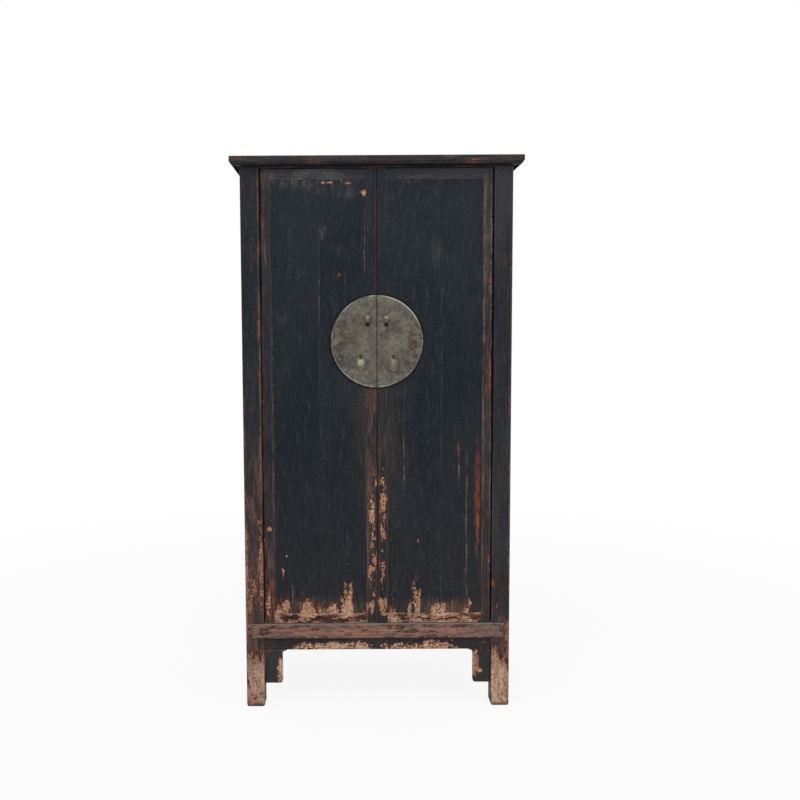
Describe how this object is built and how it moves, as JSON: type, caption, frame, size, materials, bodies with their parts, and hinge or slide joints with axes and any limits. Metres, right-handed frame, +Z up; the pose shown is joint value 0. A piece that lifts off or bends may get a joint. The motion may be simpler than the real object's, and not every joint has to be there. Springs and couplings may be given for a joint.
{
  "type": "armoire",
  "caption": "Tall double-door lacquered armoire on square post legs, with a moulded cap, pivot-hung panel doors, shelves and a round split metal lock plate with drop pulls.",
  "frame": {"origin": "on the floor, under the middle of the whole piece with its cap", "axes": "+Z up, the doors face -Y, +X to the right of someone who faces the doors"},
  "size_m": [0.984, 0.546, 1.9],
  "materials": {
    "lacquered_wood": "semi-matt blue-black lacquer over softwood, rubbed at the edges",
    "worn_lacquer": "worn black lacquer with red ground and bare wood showing",
    "inside_wood": "aged unfinished softwood",
    "white_brass": "aged grey-brown white brass, hand worn"
  },
  "bodies": {
    "carcass": {"cap_rail_front": "lacquered_wood", "cap_rail_back": "lacquered_wood", "cap_rail_left": "lacquered_wood", "cap_rail_right": "lacquered_wood", "cap_board_front": "lacquered_wood", "cap_board_back": "lacquered_wood", "cap_batten": "inside_wood", "post_front_left": "worn_lacquer", "post_front_right": "worn_lacquer", "post_back_left": "worn_lacquer", "post_back_right": "worn_lacquer", "head_rail_front": "worn_lacquer", "bottom_rail_front": "worn_lacquer", "head_rail_back": "lacquered_wood", "bottom_rail_back": "lacquered_wood", "head_rail_left": "lacquered_wood", "bottom_rail_left": "lacquered_wood", "head_rail_right": "lacquered_wood", "bottom_rail_right": "lacquered_wood", "apron_front": "lacquered_wood", "apron_left": "lacquered_wood", "apron_right": "lacquered_wood", "spandrel_left": "lacquered_wood", "spandrel_right": "lacquered_wood", "side_panel_left": "lacquered_wood", "side_panel_right": "lacquered_wood", "back_muntin": "lacquered_wood", "back_panel_left": "lacquered_wood", "back_panel_right": "lacquered_wood", "bottom_board": "inside_wood", "shelf_lower": "inside_wood", "shelf_upper": "inside_wood", "shelf_bearer_lower_left": "inside_wood", "shelf_bearer_lower_right": "inside_wood", "shelf_bearer_upper_left": "inside_wood", "shelf_bearer_upper_right": "inside_wood"},
    "door_left": {"hinge_stile_left": "worn_lacquer", "meeting_stile_left": "lacquered_wood", "door_top_rail_left": "lacquered_wood", "door_bottom_rail_left": "worn_lacquer", "door_board_outer_left": "lacquered_wood", "door_board_inner_left": "lacquered_wood", "door_batten_lower_left": "inside_wood", "door_batten_upper_left": "inside_wood", "face_plate_left": "white_brass", "lock_loop_left": "white_brass", "pull_pin_left": "white_brass"},
    "door_right": {"hinge_stile_right": "worn_lacquer", "meeting_stile_right": "lacquered_wood", "door_top_rail_right": "lacquered_wood", "door_bottom_rail_right": "worn_lacquer", "door_board_outer_right": "lacquered_wood", "door_board_inner_right": "lacquered_wood", "door_batten_lower_right": "inside_wood", "door_batten_upper_right": "inside_wood", "face_plate_right": "white_brass", "lock_loop_right": "white_brass", "pull_pin_right": "white_brass"},
    "pull_left": {"pull_left": "white_brass"},
    "pull_right": {"pull_right": "white_brass"}
  },
  "joints": [
    {"name": "left_door_pivot", "type": "hinge", "parent": "carcass", "child": "door_left", "pos_m": [-0.382, -0.227, 1.08], "axis": [0, 0, -1], "range_deg": [0, 95]},
    {"name": "right_door_pivot", "type": "hinge", "parent": "carcass", "child": "door_right", "pos_m": [0.382, -0.227, 1.08], "axis": [0, 0, 1], "range_deg": [0, 95]},
    {"name": "left_pull_swing", "type": "hinge", "parent": "door_left", "child": "pull_left", "pos_m": [-0.056, -0.2505, 1.228], "axis": [-1, 0, 0], "range_deg": [0, 100]},
    {"name": "right_pull_swing", "type": "hinge", "parent": "door_right", "child": "pull_right", "pos_m": [0.056, -0.2505, 1.228], "axis": [-1, 0, 0], "range_deg": [0, 100]}
  ]
}
